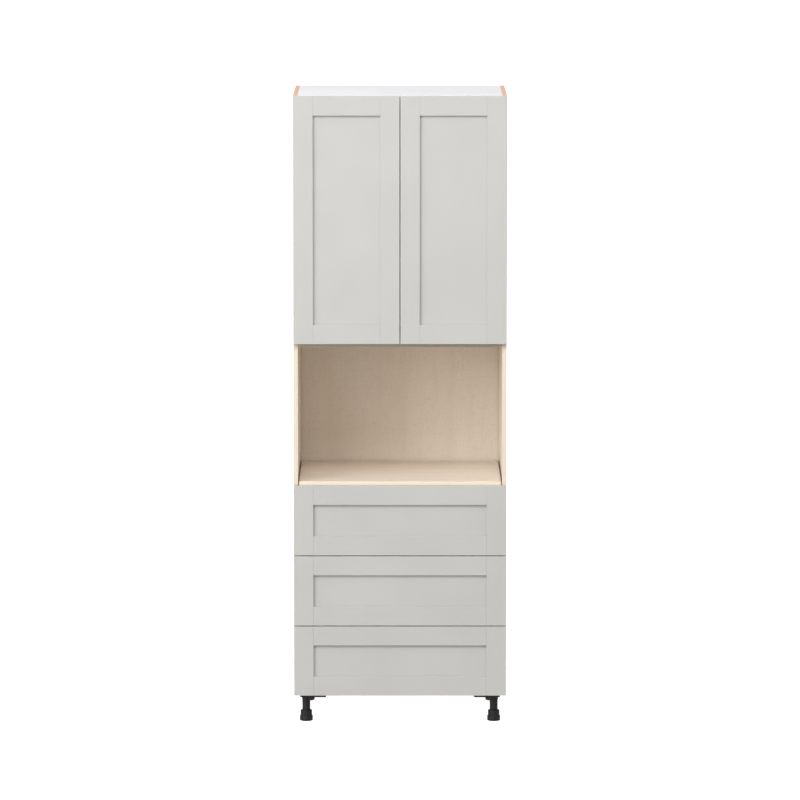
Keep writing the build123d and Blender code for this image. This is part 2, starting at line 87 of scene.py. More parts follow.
def openMaterial(name):
    material = bpy.data.materials.new(name)
    material.use_nodes = True
    tree = material.node_tree
    tree.nodes.clear()
    return material, tree, addNode(tree, "ShaderNodeTexCoord").outputs


def closeMaterial(tree, settings, links):
    shader = addNode(tree, "ShaderNodeBsdfPrincipled", settings, links)
    addNode(tree, "ShaderNodeOutputMaterial", None, {"Surface": shader})


def perFeature(across, along, grain):
    # mapping scale that makes one unit one feature, long along the grain's axis
    return [1 / (along if axis == grain else across) for axis in "XYZ"]


def arrisMask(tree, radius, strength):
    # 0 on flats, rising to strength on an arris, from how far its rounded normal turns
    rounded = addNode(tree, "ShaderNodeBevel", {"samples": 4, "Radius": radius})
    flat = addNode(tree, "ShaderNodeNewGeometry").outputs["Normal"]
    turn = addNode(tree, "ShaderNodeVectorMath", {"operation": "DOT_PRODUCT"}, {0: rounded, 1: flat})
    limits = {"From Min": 0.98, "From Max": 0.72, "To Max": strength}
    return addNode(tree, "ShaderNodeMapRange", limits, {"Value": turn.outputs["Value"]})


def shadedCorners(tree, reach, strength):
    # painted shade: 0 in the open, rising to strength in an inside corner
    nearby = addNode(tree, "ShaderNodeAmbientOcclusion", {"samples": 6, "Distance": reach})
    limits = {"From Min": 0.95, "From Max": 0.35, "To Max": strength}
    return addNode(tree, "ShaderNodeMapRange", limits, {"Value": nearby.outputs["AO"]})


lacquer = {
    "tints": ((0.3, "b5b4b1"), (0.7, "b9b8b4")),
    # painted highlight: the paler colour on arrises that catch the light
    "paleArris": "d6d5d1",
    "arrisBand": (1.8 * mm, 0.7),  # how far in from an arris, and how strongly
    "joint": "8d8c88",
    "jointLine": (1.8 * mm, 0.6),
    # painted shade: the grey laid into corners and recesses where shade falls
    "cornerShade": "96948f",
    "cornerShadeReach": (6 * mm, 0.2),
    "sheen": (0.38, 0.47),  # roughness across the patches
    "patch": 260 * mm,  # how far the spray gun's passes vary
    "peel": 2.6 * mm,  # real orange peel is finer, drawn as coarse as it needs to show
    "grain": (1.6 * mm, 90 * mm),  # pore rows of the wood that telegraph through
}


def railEnds(tree, radius, strength):
    # rises to strength where a level piece's end butts against its neighbour
    rounded = addNode(tree, "ShaderNodeBevel", {"samples": 4, "Radius": radius})
    frames = {"vector_type": "NORMAL", "convert_from": "WORLD", "convert_to": "OBJECT"}
    inPiece = addNode(tree, "ShaderNodeVectorTransform", frames, {0: rounded})
    sideways = addNode(tree, "ShaderNodeSeparateXYZ", None, {0: inPiece}).outputs["X"]
    amount = addNode(tree, "ShaderNodeMath", {"operation": "ABSOLUTE"}, {0: sideways})
    limits = {"From Min": 0.05, "From Max": 0.3, "To Max": strength}
    return addNode(tree, "ShaderNodeMapRange", limits, {"Value": amount})


def sprayedLacquer(grain):
    # Satin light grey catalysed lacquer, sprayed on maple: broad soft highlights, faint
    # orange peel over the ghost of the grain, a painted highlight along the arrises, a hairline
    # where a rail butts against a stile, and painted grey shade in the corners
    material, tree, place = openMaterial("sprayedLacquer" + grain)
    wide = {"Scale": perFeature(lacquer["patch"], lacquer["patch"], grain)}
    fine = {"Scale": perFeature(lacquer["peel"], lacquer["peel"], grain)}
    long = {"Scale": perFeature(*lacquer["grain"], grain)}
    wide = addNode(tree, "ShaderNodeMapping", wide, {"Vector": place["Object"]})
    fine = addNode(tree, "ShaderNodeMapping", fine, {"Vector": place["Object"]})
    long = addNode(tree, "ShaderNodeMapping", long, {"Vector": place["Object"]})
    patches = addNode(tree, "ShaderNodeTexNoise", {"Scale": 1.0, "Detail": 2.0}, {"Vector": wide})
    peel = addNode(tree, "ShaderNodeTexNoise", {"Scale": 1.0, "Detail": 1.0}, {"Vector": fine})
    rows = addNode(tree, "ShaderNodeTexNoise", {"Scale": 1.0, "Detail": 3.0}, {"Vector": long})
    colour = addNode(tree, "ShaderNodeValToRGB", {"stops": lacquer["tints"]}, {"Fac": patches})
    # painted highlight along the arrises, paler where the rounded normal turns
    paleArris = {0: arrisMask(tree, *lacquer["arrisBand"]), 6: colour}
    colour = addNode(tree, "ShaderNodeMix", {"data_type": "RGBA", 7: linear(lacquer["paleArris"])}, paleArris)
    if grain == "X":
        joint = {0: railEnds(tree, *lacquer["jointLine"]), 6: colour}
        colour = addNode(tree, "ShaderNodeMix", {"data_type": "RGBA", 7: linear(lacquer["joint"])}, joint)
    # painted shade darkens the corners and the recesses round the panels
    cornerShaded = {0: shadedCorners(tree, *lacquer["cornerShadeReach"]), 6: colour}
    colour = addNode(tree, "ShaderNodeMix", {"data_type": "RGBA", 7: linear(lacquer["cornerShade"])}, cornerShaded)
    smoothest, roughest = lacquer["sheen"]
    sheen = {"From Min": 0.3, "From Max": 0.7, "To Min": smoothest, "To Max": roughest}
    sheen = addNode(tree, "ShaderNodeMapRange", sheen, {"Value": patches})
    bump = addNode(tree, "ShaderNodeBump", {"Strength": 0.1, "Distance": 0.15 * mm}, {"Height": rows})
    bump = addNode(
        tree, "ShaderNodeBump", {"Strength": 0.08, "Distance": 0.2 * mm}, {"Height": peel, "Normal": bump}
    )
    closeMaterial(tree, {"IOR": 1.5}, {"Base Color": colour, "Roughness": sheen, "Normal": bump})
    return material


board = {
    "maple": ((0.25, "e5d9ca"), (0.5, "e8ddcf"), (0.8, "ebe1d4")),
    "pore": "cbb8a3",
    "fleck": "d2c0ac",
    "white": ((0.35, "ebebed"), (0.65, "f0f0f2")),
    # painted shade: the deck's front band is darker, as if shaded by the door just above it
    "bands": {"side": "d9cab8", "top": "f1efec", "shelf": "ebdbca", "deckShadedEdge": "a99c8b"},
    "paleArris": "f2e6d8",
    "arrisBand": (0.8 * mm, 0.3),
    "shadow": "8f7f6e",
    "shadowReach": (18 * mm, 0.3),
    "cutRoughness": 0.74,
    "faceRoughness": 0.46,
    "plies": ((0.0, "cd9a78"), (0.45, "e3b797"), (0.55, "eecbae"), (1.0, "d8a684")),
    "ply": 1.44 * mm,  # eleven plies in a board
    "figure": (45 * mm, 520 * mm),
    "pores": (2.6 * mm, 34 * mm),  # real pores are 0.3 mm wide, drawn coarse enough to show
    "flecks": (2.6 * mm, 20 * mm),
    "sawn": (2 * mm, 7 * mm),
    "paper": 300 * mm,
}


def mapleFacedPlywood(name, grain, thickness, band, white=None):
    # Plywood faced with printed maple melamine: slow pale figure, short pores along the
    # grain and flecks across it that look like linen. The front edge has a glued band, the
    # other cut edges show warm bare plies, corners are shaded and arrises a little paler.
    # thickness is the axis through the board, band says which front edge it has, and white
    # is where a face is plain white instead: "outside" or "above".
    material, tree, place = openMaterial(name)
    crossGrain = {"X": "Y" if thickness == "Z" else "Z", "Z": "X", "Y": "X"}[grain]
    scales = {
        "figure": perFeature(*board["figure"], grain),
        "pores": perFeature(*board["pores"], grain),
        "flecks": perFeature(*board["flecks"], crossGrain),
        "sawn": perFeature(*board["sawn"], "Y"),
        "plies": perFeature(board["ply"], board["ply"], "X"),
        "paper": perFeature(board["paper"], board["paper"], "X"),
    }
    spots = {
        part: addNode(tree, "ShaderNodeMapping", {"Scale": scale}, {"Vector": place["Object"]})
        for part, scale in scales.items()
    }
    details = {"figure": 3.0, "pores": 3.0, "flecks": 1.0, "sawn": 3.0, "paper": 2.0}
    noises = {
        part: addNode(tree, "ShaderNodeTexNoise", {"Scale": 1.0, "Detail": detail}, {"Vector": spots[part]})
        for part, detail in details.items()
    }
    maple = addNode(tree, "ShaderNodeValToRGB", {"stops": board["maple"]}, {"Fac": noises["figure"]})
    marks = {"pores": ("pore", 0.55, 0.75, 0.34), "flecks": ("fleck", 0.58, 0.76, 0.42)}
    for part, (tint, low, high, strength) in marks.items():
        limits = {"From Min": low, "From Max": high, "To Max": strength}
        amount = addNode(tree, "ShaderNodeMapRange", limits, {"Value": noises[part]})
        tint = {"data_type": "RGBA", 7: linear(board[tint])}
        maple = addNode(tree, "ShaderNodeMix", tint, {0: amount, 6: maple})

    # plies: a triangle wave through the thickness, made uneven by the saw
    level = addNode(tree, "ShaderNodeSeparateXYZ", None, {0: spots["plies"]}).outputs["XYZ".index(thickness)]
    uneven = addNode(
        tree, "ShaderNodeMath", {"operation": "MULTIPLY_ADD", 1: 0.5}, {0: noises["sawn"], 2: level}
    )
    wave = addNode(tree, "ShaderNodeMath", {"operation": "PINGPONG", 1: 1.0}, {0: uneven})
    plies = addNode(tree, "ShaderNodeValToRGB", {"stops": board["plies"]}, {"Fac": wave})

    turned = addNode(tree, "ShaderNodeSeparateXYZ", None, {0: place["Normal"]}).outputs
    through = addNode(tree, "ShaderNodeMath", {"operation": "ABSOLUTE"}, {0: turned["XYZ".index(thickness)]})
    isFace = addNode(tree, "ShaderNodeMapRange", {"From Min": 0.5, "From Max": 0.7}, {"Value": through})
    forward = {"From Min": -0.5, "From Max": -0.7}
    isFront = addNode(tree, "ShaderNodeMapRange", forward, {"Value": turned["Y"]})
    glued = {"data_type": "RGBA", 7: linear(board["bands"][band])}
    colour = addNode(tree, "ShaderNodeMix", glued, {0: isFront, 6: plies})
    colour = addNode(tree, "ShaderNodeMix", {"data_type": "RGBA"}, {0: isFace, 6: colour, 7: maple})
    if white:
        side = turned["Z"]
        if white == "outside":
            x = addNode(tree, "ShaderNodeSeparateXYZ", None, {0: place["Object"]}).outputs["X"]
            sign = addNode(tree, "ShaderNodeMath", {"operation": "SIGN"}, {0: x})
            side = addNode(tree, "ShaderNodeMath", {"operation": "MULTIPLY"}, {0: turned["X"], 1: sign})
        isWhite = addNode(tree, "ShaderNodeMapRange", {"From Min": 0.6, "From Max": 0.8}, {"Value": side})
        paper = addNode(tree, "ShaderNodeValToRGB", {"stops": board["white"]}, {"Fac": noises["paper"]})
        colour = addNode(tree, "ShaderNodeMix", {"data_type": "RGBA"}, {0: isWhite, 6: colour, 7: paper})
    shadow = {0: shadedCorners(tree, *board["shadowReach"]), 6: colour}
    colour = addNode(tree, "ShaderNodeMix", {"data_type": "RGBA", 7: linear(board["shadow"])}, shadow)
    paleArris = {0: arrisMask(tree, *board["arrisBand"]), 6: colour}
    colour = addNode(tree, "ShaderNodeMix", {"data_type": "RGBA", 7: linear(board["paleArris"])}, paleArris)
    gloss = {"To Min": board["cutRoughness"], "To Max": board["faceRoughness"]}
    gloss = addNode(tree, "ShaderNodeMapRange", gloss, {"Value": isFace})
    height = addNode(tree, "ShaderNodeMix", None, {0: isFace, 2: noises["sawn"], 3: noises["pores"]})
    bump = addNode(tree, "ShaderNodeBump", {"Strength": 0.12, "Distance": 0.12 * mm}, {"Height": height})
    closeMaterial(tree, {"IOR": 1.52}, {"Base Color": colour, "Roughness": gloss, "Normal": bump})
    return material


birch = {
    "face": ((0.2, "dcc39d"), (0.5, "e5d0ae"), (0.8, "ecdbbf")),
    "pore": "b9935f",
    "plies": ((0.0, "b98e63"), (0.45, "dcbf96"), (0.55, "e7d0ac"), (1.0, "c79f74")),
    "shadow": "8c7250",
    "shadowReach": (20 * mm, 0.4),
    "gloss": (0.34, 0.44),  # roughness across the figure
    "coat": {"IOR": 1.5, "Coat Weight": 0.25, "Coat Roughness": 0.2},
    "ply": 1.3 * mm,
    "figure": (24 * mm, 240 * mm),
    "pores": (1.6 * mm, 26 * mm),
}


def lacqueredBirchPlywood(name, grain, thickness):
    # Birch plywood under clear lacquer: soft flame figure of peeled veneer, short dark
    # pores, and striped plies with a light gloss on the top edges
    material, tree, place = openMaterial(name)
    spots = [
        addNode(tree, "ShaderNodeMapping", {"Scale": scale}, {"Vector": place["Object"]})
        for scale in (
            perFeature(*birch["figure"], grain),
            perFeature(*birch["pores"], grain),
            perFeature(birch["ply"], birch["ply"], "X"),
        )
    ]
    flame = {"Scale": 1.0, "Detail": 4.0, "Distortion": 1.4}
    figure = addNode(tree, "ShaderNodeTexNoise", flame, {"Vector": spots[0]})
    pores = addNode(tree, "ShaderNodeTexNoise", {"Scale": 1.0, "Detail": 2.0}, {"Vector": spots[1]})
    face = addNode(tree, "ShaderNodeValToRGB", {"stops": birch["face"]}, {"Fac": figure})
    limits = {"From Min": 0.6, "From Max": 0.78, "To Max": 0.5}
    amount = addNode(tree, "ShaderNodeMapRange", limits, {"Value": pores})
    dark = {"data_type": "RGBA", 7: linear(birch["pore"])}
    face = addNode(tree, "ShaderNodeMix", dark, {0: amount, 6: face})
    level = addNode(tree, "ShaderNodeSeparateXYZ", None, {0: spots[2]}).outputs["XYZ".index(thickness)]
    uneven = addNode(tree, "ShaderNodeMath", {"operation": "MULTIPLY_ADD", 1: 0.4}, {0: figure, 2: level})
    wave = addNode(tree, "ShaderNodeMath", {"operation": "PINGPONG", 1: 1.0}, {0: uneven})
    plies = addNode(tree, "ShaderNodeValToRGB", {"stops": birch["plies"]}, {"Fac": wave})
    turned = addNode(tree, "ShaderNodeSeparateXYZ", None, {0: place["Normal"]}).outputs
    through = addNode(tree, "ShaderNodeMath", {"operation": "ABSOLUTE"}, {0: turned["XYZ".index(thickness)]})
    isFace = addNode(tree, "ShaderNodeMapRange", {"From Min": 0.5, "From Max": 0.7}, {"Value": through})
    colour = addNode(tree, "ShaderNodeMix", {"data_type": "RGBA"}, {0: isFace, 6: plies, 7: face})
    shadow = {0: shadedCorners(tree, *birch["shadowReach"]), 6: colour}
    colour = addNode(tree, "ShaderNodeMix", {"data_type": "RGBA", 7: linear(birch["shadow"])}, shadow)
    low, high = birch["gloss"]
    gloss = {"From Min": 0.3, "From Max": 0.7, "To Min": low, "To Max": high}
    gloss = addNode(tree, "ShaderNodeMapRange", gloss, {"Value": figure})
    bump = addNode(tree, "ShaderNodeBump", {"Strength": 0.15, "Distance": 0.1 * mm}, {"Height": pores})
    closeMaterial(tree, birch["coat"], {"Base Color": colour, "Roughness": gloss, "Normal": bump})
    return material


plating = {
    "cloud": 9 * mm,
    "paleArris": "e4e5e6",
    "arrisBand": (0.5 * mm, 0.5),
    "zinc": {
        "tints": ((0.3, "b9bdc2"), (0.7, "cdd0d2")),
        "gloss": (0.26, 0.42),
        "lines": (0.5 * mm, 60 * mm),
    },
    "nickel": {
        "tints": ((0.3, "c4beb4"), (0.7, "d6d1c8")),
        "gloss": (0.16, 0.30),
        "lines": (0.4 * mm, 14 * mm),
    },
    "blueZinc": {
        "tints": ((0.3, "aeb2b6"), (0.7, "c6c9cc")),
        "gloss": (0.24, 0.40),
        "lines": (0.4 * mm, 4 * mm),
    },
}


def platedSteel(name, look):
    # Rolled or pressed steel, electroplated: faint rolling lines, cloudy patches where the
    # plating is thicker, and arrises rubbed bright
    material, tree, place = openMaterial(name)
    clouds = {"Scale": perFeature(plating["cloud"], plating["cloud"], "Y")}
    lines = {"Scale": perFeature(*look["lines"], "Y")}
    clouds = addNode(tree, "ShaderNodeMapping", clouds, {"Vector": place["Object"]})
    lines = addNode(tree, "ShaderNodeMapping", lines, {"Vector": place["Object"]})
    clouds = addNode(tree, "ShaderNodeTexNoise", {"Scale": 1.0, "Detail": 3.0}, {"Vector": clouds})
    lines = addNode(tree, "ShaderNodeTexNoise", {"Scale": 1.0, "Detail": 2.0}, {"Vector": lines})
    colour = addNode(tree, "ShaderNodeValToRGB", {"stops": look["tints"]}, {"Fac": clouds})
    paleArris = {0: arrisMask(tree, *plating["arrisBand"]), 6: colour}
    colour = addNode(tree, "ShaderNodeMix", {"data_type": "RGBA", 7: linear(plating["paleArris"])}, paleArris)
    low, high = look["gloss"]
    gloss = {"From Min": 0.3, "From Max": 0.7, "To Min": low, "To Max": high}
    gloss = addNode(tree, "ShaderNodeMapRange", gloss, {"Value": clouds})
    bump = addNode(tree, "ShaderNodeBump", {"Strength": 0.08, "Distance": 0.05 * mm}, {"Height": lines})
    closeMaterial(tree, {"Metallic": 1.0}, {"Base Color": colour, "Roughness": gloss, "Normal": bump})
    return material


polypropylene = {
    "tints": ((0.3, "0c0d0d"), (0.7, "131414")),
    "scuff": "323437",
    "scuffed": (0.8 * mm, 0.8),
    "gloss": (0.42, 0.55),
    "patch": 12 * mm,
    "grit": 0.7 * mm,  # the eroded grit is 0.1 mm, drawn coarser
}


def mouldedPolypropylene():
    # Black polypropylene from a spark-eroded mould: dull sheen, fine grit and pale scuffs
    # along the arrises
    material, tree, place = openMaterial("mouldedPolypropylene")
    noises = [
        addNode(
            tree,
            "ShaderNodeTexNoise",
            {"Scale": 1 / polypropylene[size], "Detail": detail},
            {"Vector": place["Object"]},
        )
        for size, detail in (("patch", 3.0), ("grit", 1.0))
    ]
    patches, grit = noises
    colour = addNode(tree, "ShaderNodeValToRGB", {"stops": polypropylene["tints"]}, {"Fac": patches})
    edges = {0: arrisMask(tree, *polypropylene["scuffed"]), 1: patches}
    edges = addNode(tree, "ShaderNodeMath", {"operation": "MULTIPLY"}, edges)
    scuff = {"data_type": "RGBA", 7: linear(polypropylene["scuff"])}
    colour = addNode(tree, "ShaderNodeMix", scuff, {0: edges, 6: colour})
    low, high = polypropylene["gloss"]
    gloss = {"From Min": 0.3, "From Max": 0.7, "To Min": low, "To Max": high}
    gloss = addNode(tree, "ShaderNodeMapRange", gloss, {"Value": patches})
    bump = addNode(tree, "ShaderNodeBump", {"Strength": 0.25, "Distance": 0.06 * mm}, {"Height": grit})
    closeMaterial(tree, {"IOR": 1.49}, {"Base Color": colour, "Roughness": gloss, "Normal": bump})
    return material


polyurethane = {
    "tints": ((0.3, "d9d8d0"), (0.7, "e6e5de")),
    "milk": 3 * mm,
    "clear": {"IOR": 1.47, "Transmission Weight": 0.55, "Roughness": 0.28},
}


def castPolyurethane():
    # Clear polyurethane drops: soft and slightly milky, with an uneven skin
    material, tree, place = openMaterial("castPolyurethane")
    cloudy = {"Scale": 1 / polyurethane["milk"]}
    milk = addNode(tree, "ShaderNodeTexNoise", cloudy, {"Vector": place["Object"]})
    colour = addNode(tree, "ShaderNodeValToRGB", {"stops": polyurethane["tints"]}, {"Fac": milk})
    bump = addNode(tree, "ShaderNodeBump", {"Strength": 0.1, "Distance": 0.05 * mm}, {"Height": milk})
    closeMaterial(tree, polyurethane["clear"], {"Base Color": colour, "Normal": bump})
    return material


beech = {
    "tints": ((0.3, "c39a6f"), (0.6, "d6b28a"), (0.8, "b07f55")),
    "rays": (0.8 * mm, 6 * mm),
    "roughness": 0.7,
}


def turnedBeech():
    # Raw beech dowels: pinkish tan with short dark ray flecks along their length
    material, tree, place = openMaterial("turnedBeech")
    spot = {"Scale": perFeature(*beech["rays"], "X")}
    spot = addNode(tree, "ShaderNodeMapping", spot, {"Vector": place["Object"]})
    rays = addNode(tree, "ShaderNodeTexNoise", {"Scale": 1.0, "Detail": 3.0}, {"Vector": spot})
    colour = addNode(tree, "ShaderNodeValToRGB", {"stops": beech["tints"]}, {"Fac": rays})
    bump = addNode(tree, "ShaderNodeBump", {"Strength": 0.2, "Distance": 0.1 * mm}, {"Height": rays})
    raw = {"IOR": 1.53, "Roughness": beech["roughness"]}
    closeMaterial(tree, raw, {"Base Color": colour, "Normal": bump})
    return material


finishes = {
    "lacquerUpright": sprayedLacquer("Z"),
    "lacquerLevel": sprayedLacquer("X"),
    "side": mapleFacedPlywood("mapleFacedSide", "Z", "X", "side", "outside"),
    "top": mapleFacedPlywood("whiteFacedTop", "X", "Z", "top", "above"),
    "level": mapleFacedPlywood("mapleFacedShelf", "X", "Z", "shelf"),
    # painted shade: this finish differs only by a darker front band, the shade under the door above
    "deckShadedEdge": mapleFacedPlywood("mapleFacedDeckShadedEdge", "X", "Z", "deckShadedEdge"),
    "upright": mapleFacedPlywood("mapleFacedBack", "Z", "Y", "shelf"),
    "rail": mapleFacedPlywood("mapleFacedRail", "X", "Y", "shelf"),
    "boxSide": lacqueredBirchPlywood("lacqueredBirchSide", "Y", "X"),
    "boxEnd": lacqueredBirchPlywood("lacqueredBirchEnd", "X", "Y"),
    "boxBottom": lacqueredBirchPlywood("lacqueredBirchBottom", "X", "Z"),
    "zinc": platedSteel("zincPlatedSteel", plating["zinc"]),
    "nickel": platedSteel("nickelPlatedSteel", plating["nickel"]),
    "screw": platedSteel("zincPlatedScrew", plating["blueZinc"]),
    "plastic": mouldedPolypropylene(),
    "bumper": castPolyurethane(),
    "beech": turnedBeech(),
}
print("finishes made")

# which finish each node takes, by the end of its name
nodeFinishes = {
    "side_panel": "side",
    "top_panel": "top",
    "niche_ceiling": "deckShadedEdge",
    "niche_shelf": "level",
    "bottom_panel": "level",
    "adjustable_shelves": "level",
    "back_panel": "upright",
    "wall_rails": "rail",
    "shelf_pins": "nickel",
    "panel_dowels": "beech",
    "front_bumpers": "bumper",
    "shelf_angles": "zinc",
    "slides": "zinc",
    "hinge_plates": "nickel",
    "hinge_arms": "nickel",
    "hinge_cups": "nickel",
    "hinge_links": "nickel",
    "screws": "screw",
    "leg_plates": "plastic",
    "leg_tubes": "plastic",
    "foot": "plastic",
    "stiles": "lacquerUpright",
    "rails": "lacquerLevel",
    "door_panel": "lacquerUpright",
    "front_panel": "lacquerLevel",
    "box_sides": "boxSide",
    "box_ends": "boxEnd",
    "box_bottom": "boxBottom",
}
for name, node in nodes.items():
    ending = max((end for end in nodeFinishes if name.endswith(end)), key=len)
    node.data.materials.clear()
    node.data.materials.append(finishes[nodeFinishes[ending]])
    for polygon in node.data.polygons:
        polygon.material_index = 0


sharpFrom = 32  # degrees between faces that stay a crease


def addPiece(name, bm, finish, body, replaced):
    # a finished mesh that moves with a body and stands for one CAD node
    bmesh.ops.recalc_face_normals(bm, faces=bm.faces)
    mesh = bpy.data.meshes.new(name)
    bm.to_mesh(mesh)
    bm.free()
    mesh.materials.append(finishes[finish])
    mesh.shade_smooth()
    mesh.set_sharp_from_angle(angle=math.radians(sharpFrom))
    piece = bpy.data.objects.new(name, mesh)
    bpy.context.scene.collection.objects.link(piece)
    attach(piece, body)
    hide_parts(replaced)


def spinProfile(bm, profile, centre, segments, ribs=0):
    # turns (radius, height, rib depth) points round an upright axis, pressing in ribs
    rings = []
    for radius, height, depth in profile:
        ring = []
        for step in range(segments if radius else 1):
            angle = 2 * math.pi * step / segments
            reach = radius - depth * max(0.0, -math.cos(ribs * angle)) ** 0.5
            spot = Vector((reach * math.cos(angle), reach * math.sin(angle), height))
            ring.append(bm.verts.new(centre + spot))
        rings.append(ring)
    for lower, upper in zip(rings, rings[1:]):
        for step in range(segments):
            ahead = (step + 1) % segments
            corners = [lower[step % len(lower)], lower[ahead % len(lower)]]
            corners += [upper[ahead % len(upper)], upper[step % len(upper)]]
            bm.faces.new(list(dict.fromkeys(corners)))


# Screw-in feet: a wide base, a collar with grip ribs and a threaded stem

foot = {
    "segments": 144,
    "ribs": 18,
    "ribDepth": 0.9 * mm,
    "baseRound": 4 * mm,
    "baseHollow": 0.6 * mm,  # the middle of the base stands off the floor
    "baseWall": 17.5 * mm,
    "baseTop": 19 * mm,
    "collarInset": 2.75 * mm,
    "collarTop": 39.5 * mm,
    "cupRadius": 14.55 * mm,  # the tube drops into this cup
    "cupFloor": 12 * mm,
    "rimEase": 0.5 * mm,
    "stemRadius": 9.9 * mm,
    "stemPoint": 2 * mm,
    "threadPitch": 3.0 * mm,
    "threadDepth": 0.9 * mm,
}


def footProfile(radius, stemTop):
    collar = radius - foot["collarInset"]
    rise, ribs, edge = foot["baseRound"], foot["ribDepth"], foot["collarTop"]
    profile = [(0.0, foot["baseHollow"], 0), (radius * 0.7, foot["baseHollow"], 0)]
    profile += [(radius * 0.76, 0.0, 0), (radius - rise, 0.0, 0)]
    for step in range(1, 7):
        angle = math.radians(15 * step)
        profile.append((radius - rise + rise * math.sin(angle), rise - rise * math.cos(angle), 0))
    profile += [
        (radius, foot["baseWall"], 0),
        (radius - 0.2 * mm, foot["baseWall"] + 0.8 * mm, 0),
        (collar + 0.1 * mm, foot["baseTop"], 0),
        (collar - 0.3 * mm, foot["baseTop"] + 0.8 * mm, 0),
        (collar - 0.1 * mm, foot["baseTop"] + 1.8 * mm, ribs),
        (collar, foot["baseTop"] + 3 * mm, ribs),
        (collar, edge - 2.4 * mm, ribs),
        (collar - 0.3 * mm, edge - 1.4 * mm, ribs * 0.6),
        (collar - 1.0 * mm, edge - 0.5 * mm, 0),
        (collar - 2.0 * mm, edge, 0),
        (foot["cupRadius"] + foot["rimEase"] * 0.7, edge, 0),
        (foot["cupRadius"], edge - foot["rimEase"], 0),
        (foot["cupRadius"], foot["cupFloor"], 0),
    ]
    root = foot["stemRadius"] - foot["threadDepth"]
    pitch, floor = foot["threadPitch"], foot["cupFloor"]
    profile.append((root, floor, 0))
    thread = ((0.15, root), (0.35, foot["stemRadius"]), (0.6, foot["stemRadius"]), (0.85, root))
    for crest in range(int((stemTop - floor - pitch) / pitch)):
        profile += [(reach, floor + (crest + share) * pitch, 0) for share, reach in thread]
    point = foot["stemPoint"]
    return profile + [(root, stemTop - point / 2, 0), (root - point, stemTop, 0), (0.0, stemTop, 0)]


for row in ("front", "back"):
    for side in ("left", "right"):
        name = f"{row}_{side}_foot"
        low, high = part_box(name)
        centre = Vector(((low.x + high.x) / 2, (low.y + high.y) / 2, low.z))
        bm = bmesh.new()
        profile = footProfile((high.x - low.x) / 2, high.z - low.z)
        spinProfile(bm, profile, centre, foot["segments"], foot["ribs"])
        addPiece(name + "_ribbed", bm, "plastic", name, name)
print("feet turned")


# Screws: a low domed head with a pressed cross, on a threaded shank

screw = {
    "segments": 24,
    "headHeight": 1.5 * mm,
    "crossWidth": 0.95 * mm,
    "crossReach": 2.0 * mm,
    "crossDepth": 0.9 * mm,
    "crossTaper": 0.45,  # width at its floor over width at its mouth
    "threadPitch": 1.6 * mm,
    "threadDepth": 0.45 * mm,
    "threadRise": 0.55,  # where in a pitch the crest stands
    "plainShank": 3 * mm,
    "neck": 0.8 * mm,
    "headEase": 0.2 * mm,
    "headUnderEase": 0.15 * mm,
    "tip": 1.2 * mm,
    "domeEdge": 0.4 * mm,
    "turn": 37,  # degrees between one screw's cross and the next
}


def loosePoints(node):
    # the corner points of each separate solid of a CAD node
    bm = bmesh.new()
    bm.from_mesh(node.data)
    bmesh.ops.remove_doubles(bm, verts=bm.verts, dist=0.01 * mm)
    seen = set()
    solids = []
    for start in bm.verts:
        if start in seen:
            continue
        seen.add(start)
        waiting = [start]
        points = []
        while waiting:
            vert = waiting.pop()
            points.append(vert.co.copy())
            for other in (edge.other_vert(vert) for edge in vert.link_edges):
                if other not in seen:
                    seen.add(other)
                    waiting.append(other)
        solids.append(points)
    bm.free()
    return solids


def screwSeat(points):
    # where the head's underside sits, which way the screw goes in, and its radii and length
    low = Vector([min(point[i] for point in points) for i in range(3)])
    high = Vector([max(point[i] for point in points) for i in range(3)])
    axis = max(range(3), key=lambda i: high[i] - low[i])
    middle = (low + high) / 2
    flat = middle.copy()

    def radiusAt(level):
        flat[axis] = level
        return max((point - flat).length for point in points if abs(point[axis] - level) < 0.05 * mm)

    ends = sorted((low[axis], high[axis]), key=radiusAt)
    direction = Vector((0, 0, 0))
    direction[axis] = math.copysign(1, ends[0] - ends[1])
    seat = middle.copy()
    seat[axis] = ends[1] + direction[axis] * screw["headHeight"]
    length = high[axis] - low[axis] - screw["headHeight"]
    return seat, direction, (high - low)[(axis + 1) % 3] / 2, radiusAt(ends[0]), length


def screwMesh(headRadius, shankRadius, length):
    # one screw along -Z, with the underside of its head at the origin
    root = shankRadius - screw["threadDepth"]
    pitch, height = screw["threadPitch"], screw["headHeight"]
    profile = [(0.0, -length, 0), (root * 0.6, screw["tip"] - length, 0)]
    for crest in range(int((length - screw["plainShank"]) / pitch)):
        level = screw["tip"] - length + screw["headEase"] + crest * pitch
        profile += [(root, level, 0), (shankRadius, level + screw["threadRise"] * pitch, 0)]
    profile += [(root, -screw["neck"], 0), (shankRadius, 0.0, 0)]
    profile += [(headRadius - screw["headUnderEase"], 0.0, 0), (headRadius, screw["headEase"], 0)]
    for step in range(1, 4):
        angle = math.radians(22.5 * step)
        dome = (headRadius - screw["headEase"]) * math.cos(angle)
        profile.append((dome, screw["domeEdge"] + (height - screw["domeEdge"]) * math.sin(angle), 0))
    profile.append((0.0, height, 0))
    bm = bmesh.new()
    spinProfile(bm, profile, Vector((0, 0, 0)), screw["segments"])
    bmesh.ops.recalc_face_normals(bm, faces=bm.faces)
    blank = bpy.data.meshes.new("screwBlank")
    bm.to_mesh(blank)
    bm.free()
    blank = bpy.data.objects.new("screwBlank", blank)
    cutter = bpy.data.objects.new("crossCutter", crossMesh(height))
    for part in (blank, cutter):
        bpy.context.scene.collection.objects.link(part)
    cut = blank.modifiers.new("cross", "BOOLEAN")
    cut.operation = "DIFFERENCE"
    cut.object = cutter
    graph = bpy.context.evaluated_depsgraph_get()
    result = bpy.data.meshes.new_from_object(blank.evaluated_get(graph))
    for part in (blank, cutter):
        bpy.data.objects.remove(part)
    return result


